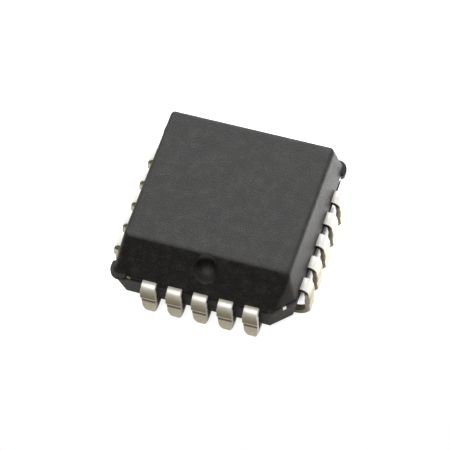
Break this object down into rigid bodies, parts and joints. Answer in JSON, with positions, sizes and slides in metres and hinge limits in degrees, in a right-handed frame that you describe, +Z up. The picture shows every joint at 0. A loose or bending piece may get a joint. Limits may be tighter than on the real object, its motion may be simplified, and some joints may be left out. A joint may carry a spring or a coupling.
{
  "type": "plastic leaded chip carrier",
  "caption": "Square chip carrier of black moulded plastic with J-shaped leads bent under every side, a bevelled edge with a dimple that marks the first pin, and a cut corner.",
  "frame": {"origin": "centre of the footprint on the seating plane, the plane under the J feet", "axes": "+Z up from the board; -Y towards the bevelled side with the first pin; +X to the right of that, so the cut corner is at +X, -Y"},
  "size_m": [0.0098, 0.0098, 0.0044],
  "materials": {
    "mould_compound": "fine sand-blasted grain",
    "solder_plate": "solder plate with fine drawn lines",
    "lead_frame_copper": "bare copper alloy",
    "silver_epoxy": "matt silver-filled epoxy",
    "silicon": "polished",
    "gold_wire": "bright drawn wire"
  },
  "bodies": {
    "root": {"package_body": "mould_compound", "die_paddle": "lead_frame_copper", "die_attach": "silver_epoxy", "die": "silicon", "lead_01": "solder_plate", "lead_02": "solder_plate", "lead_03": "solder_plate", "lead_04": "solder_plate", "lead_05": "solder_plate", "lead_06": "solder_plate", "lead_07": "solder_plate", "lead_08": "solder_plate", "lead_09": "solder_plate", "lead_10": "solder_plate", "lead_11": "solder_plate", "lead_12": "solder_plate", "lead_13": "solder_plate", "lead_14": "solder_plate", "lead_15": "solder_plate", "lead_16": "solder_plate", "lead_17": "solder_plate", "lead_18": "solder_plate", "lead_19": "solder_plate", "lead_20": "solder_plate", "bond_wire_01": "gold_wire", "bond_wire_02": "gold_wire", "bond_wire_03": "gold_wire", "bond_wire_04": "gold_wire", "bond_wire_05": "gold_wire", "bond_wire_06": "gold_wire", "bond_wire_07": "gold_wire", "bond_wire_08": "gold_wire", "bond_wire_09": "gold_wire", "bond_wire_10": "gold_wire", "bond_wire_11": "gold_wire", "bond_wire_12": "gold_wire", "bond_wire_13": "gold_wire", "bond_wire_14": "gold_wire", "bond_wire_15": "gold_wire", "bond_wire_16": "gold_wire", "bond_wire_17": "gold_wire", "bond_wire_18": "gold_wire", "bond_wire_19": "gold_wire", "bond_wire_20": "gold_wire"}
  },
  "joints": []
}
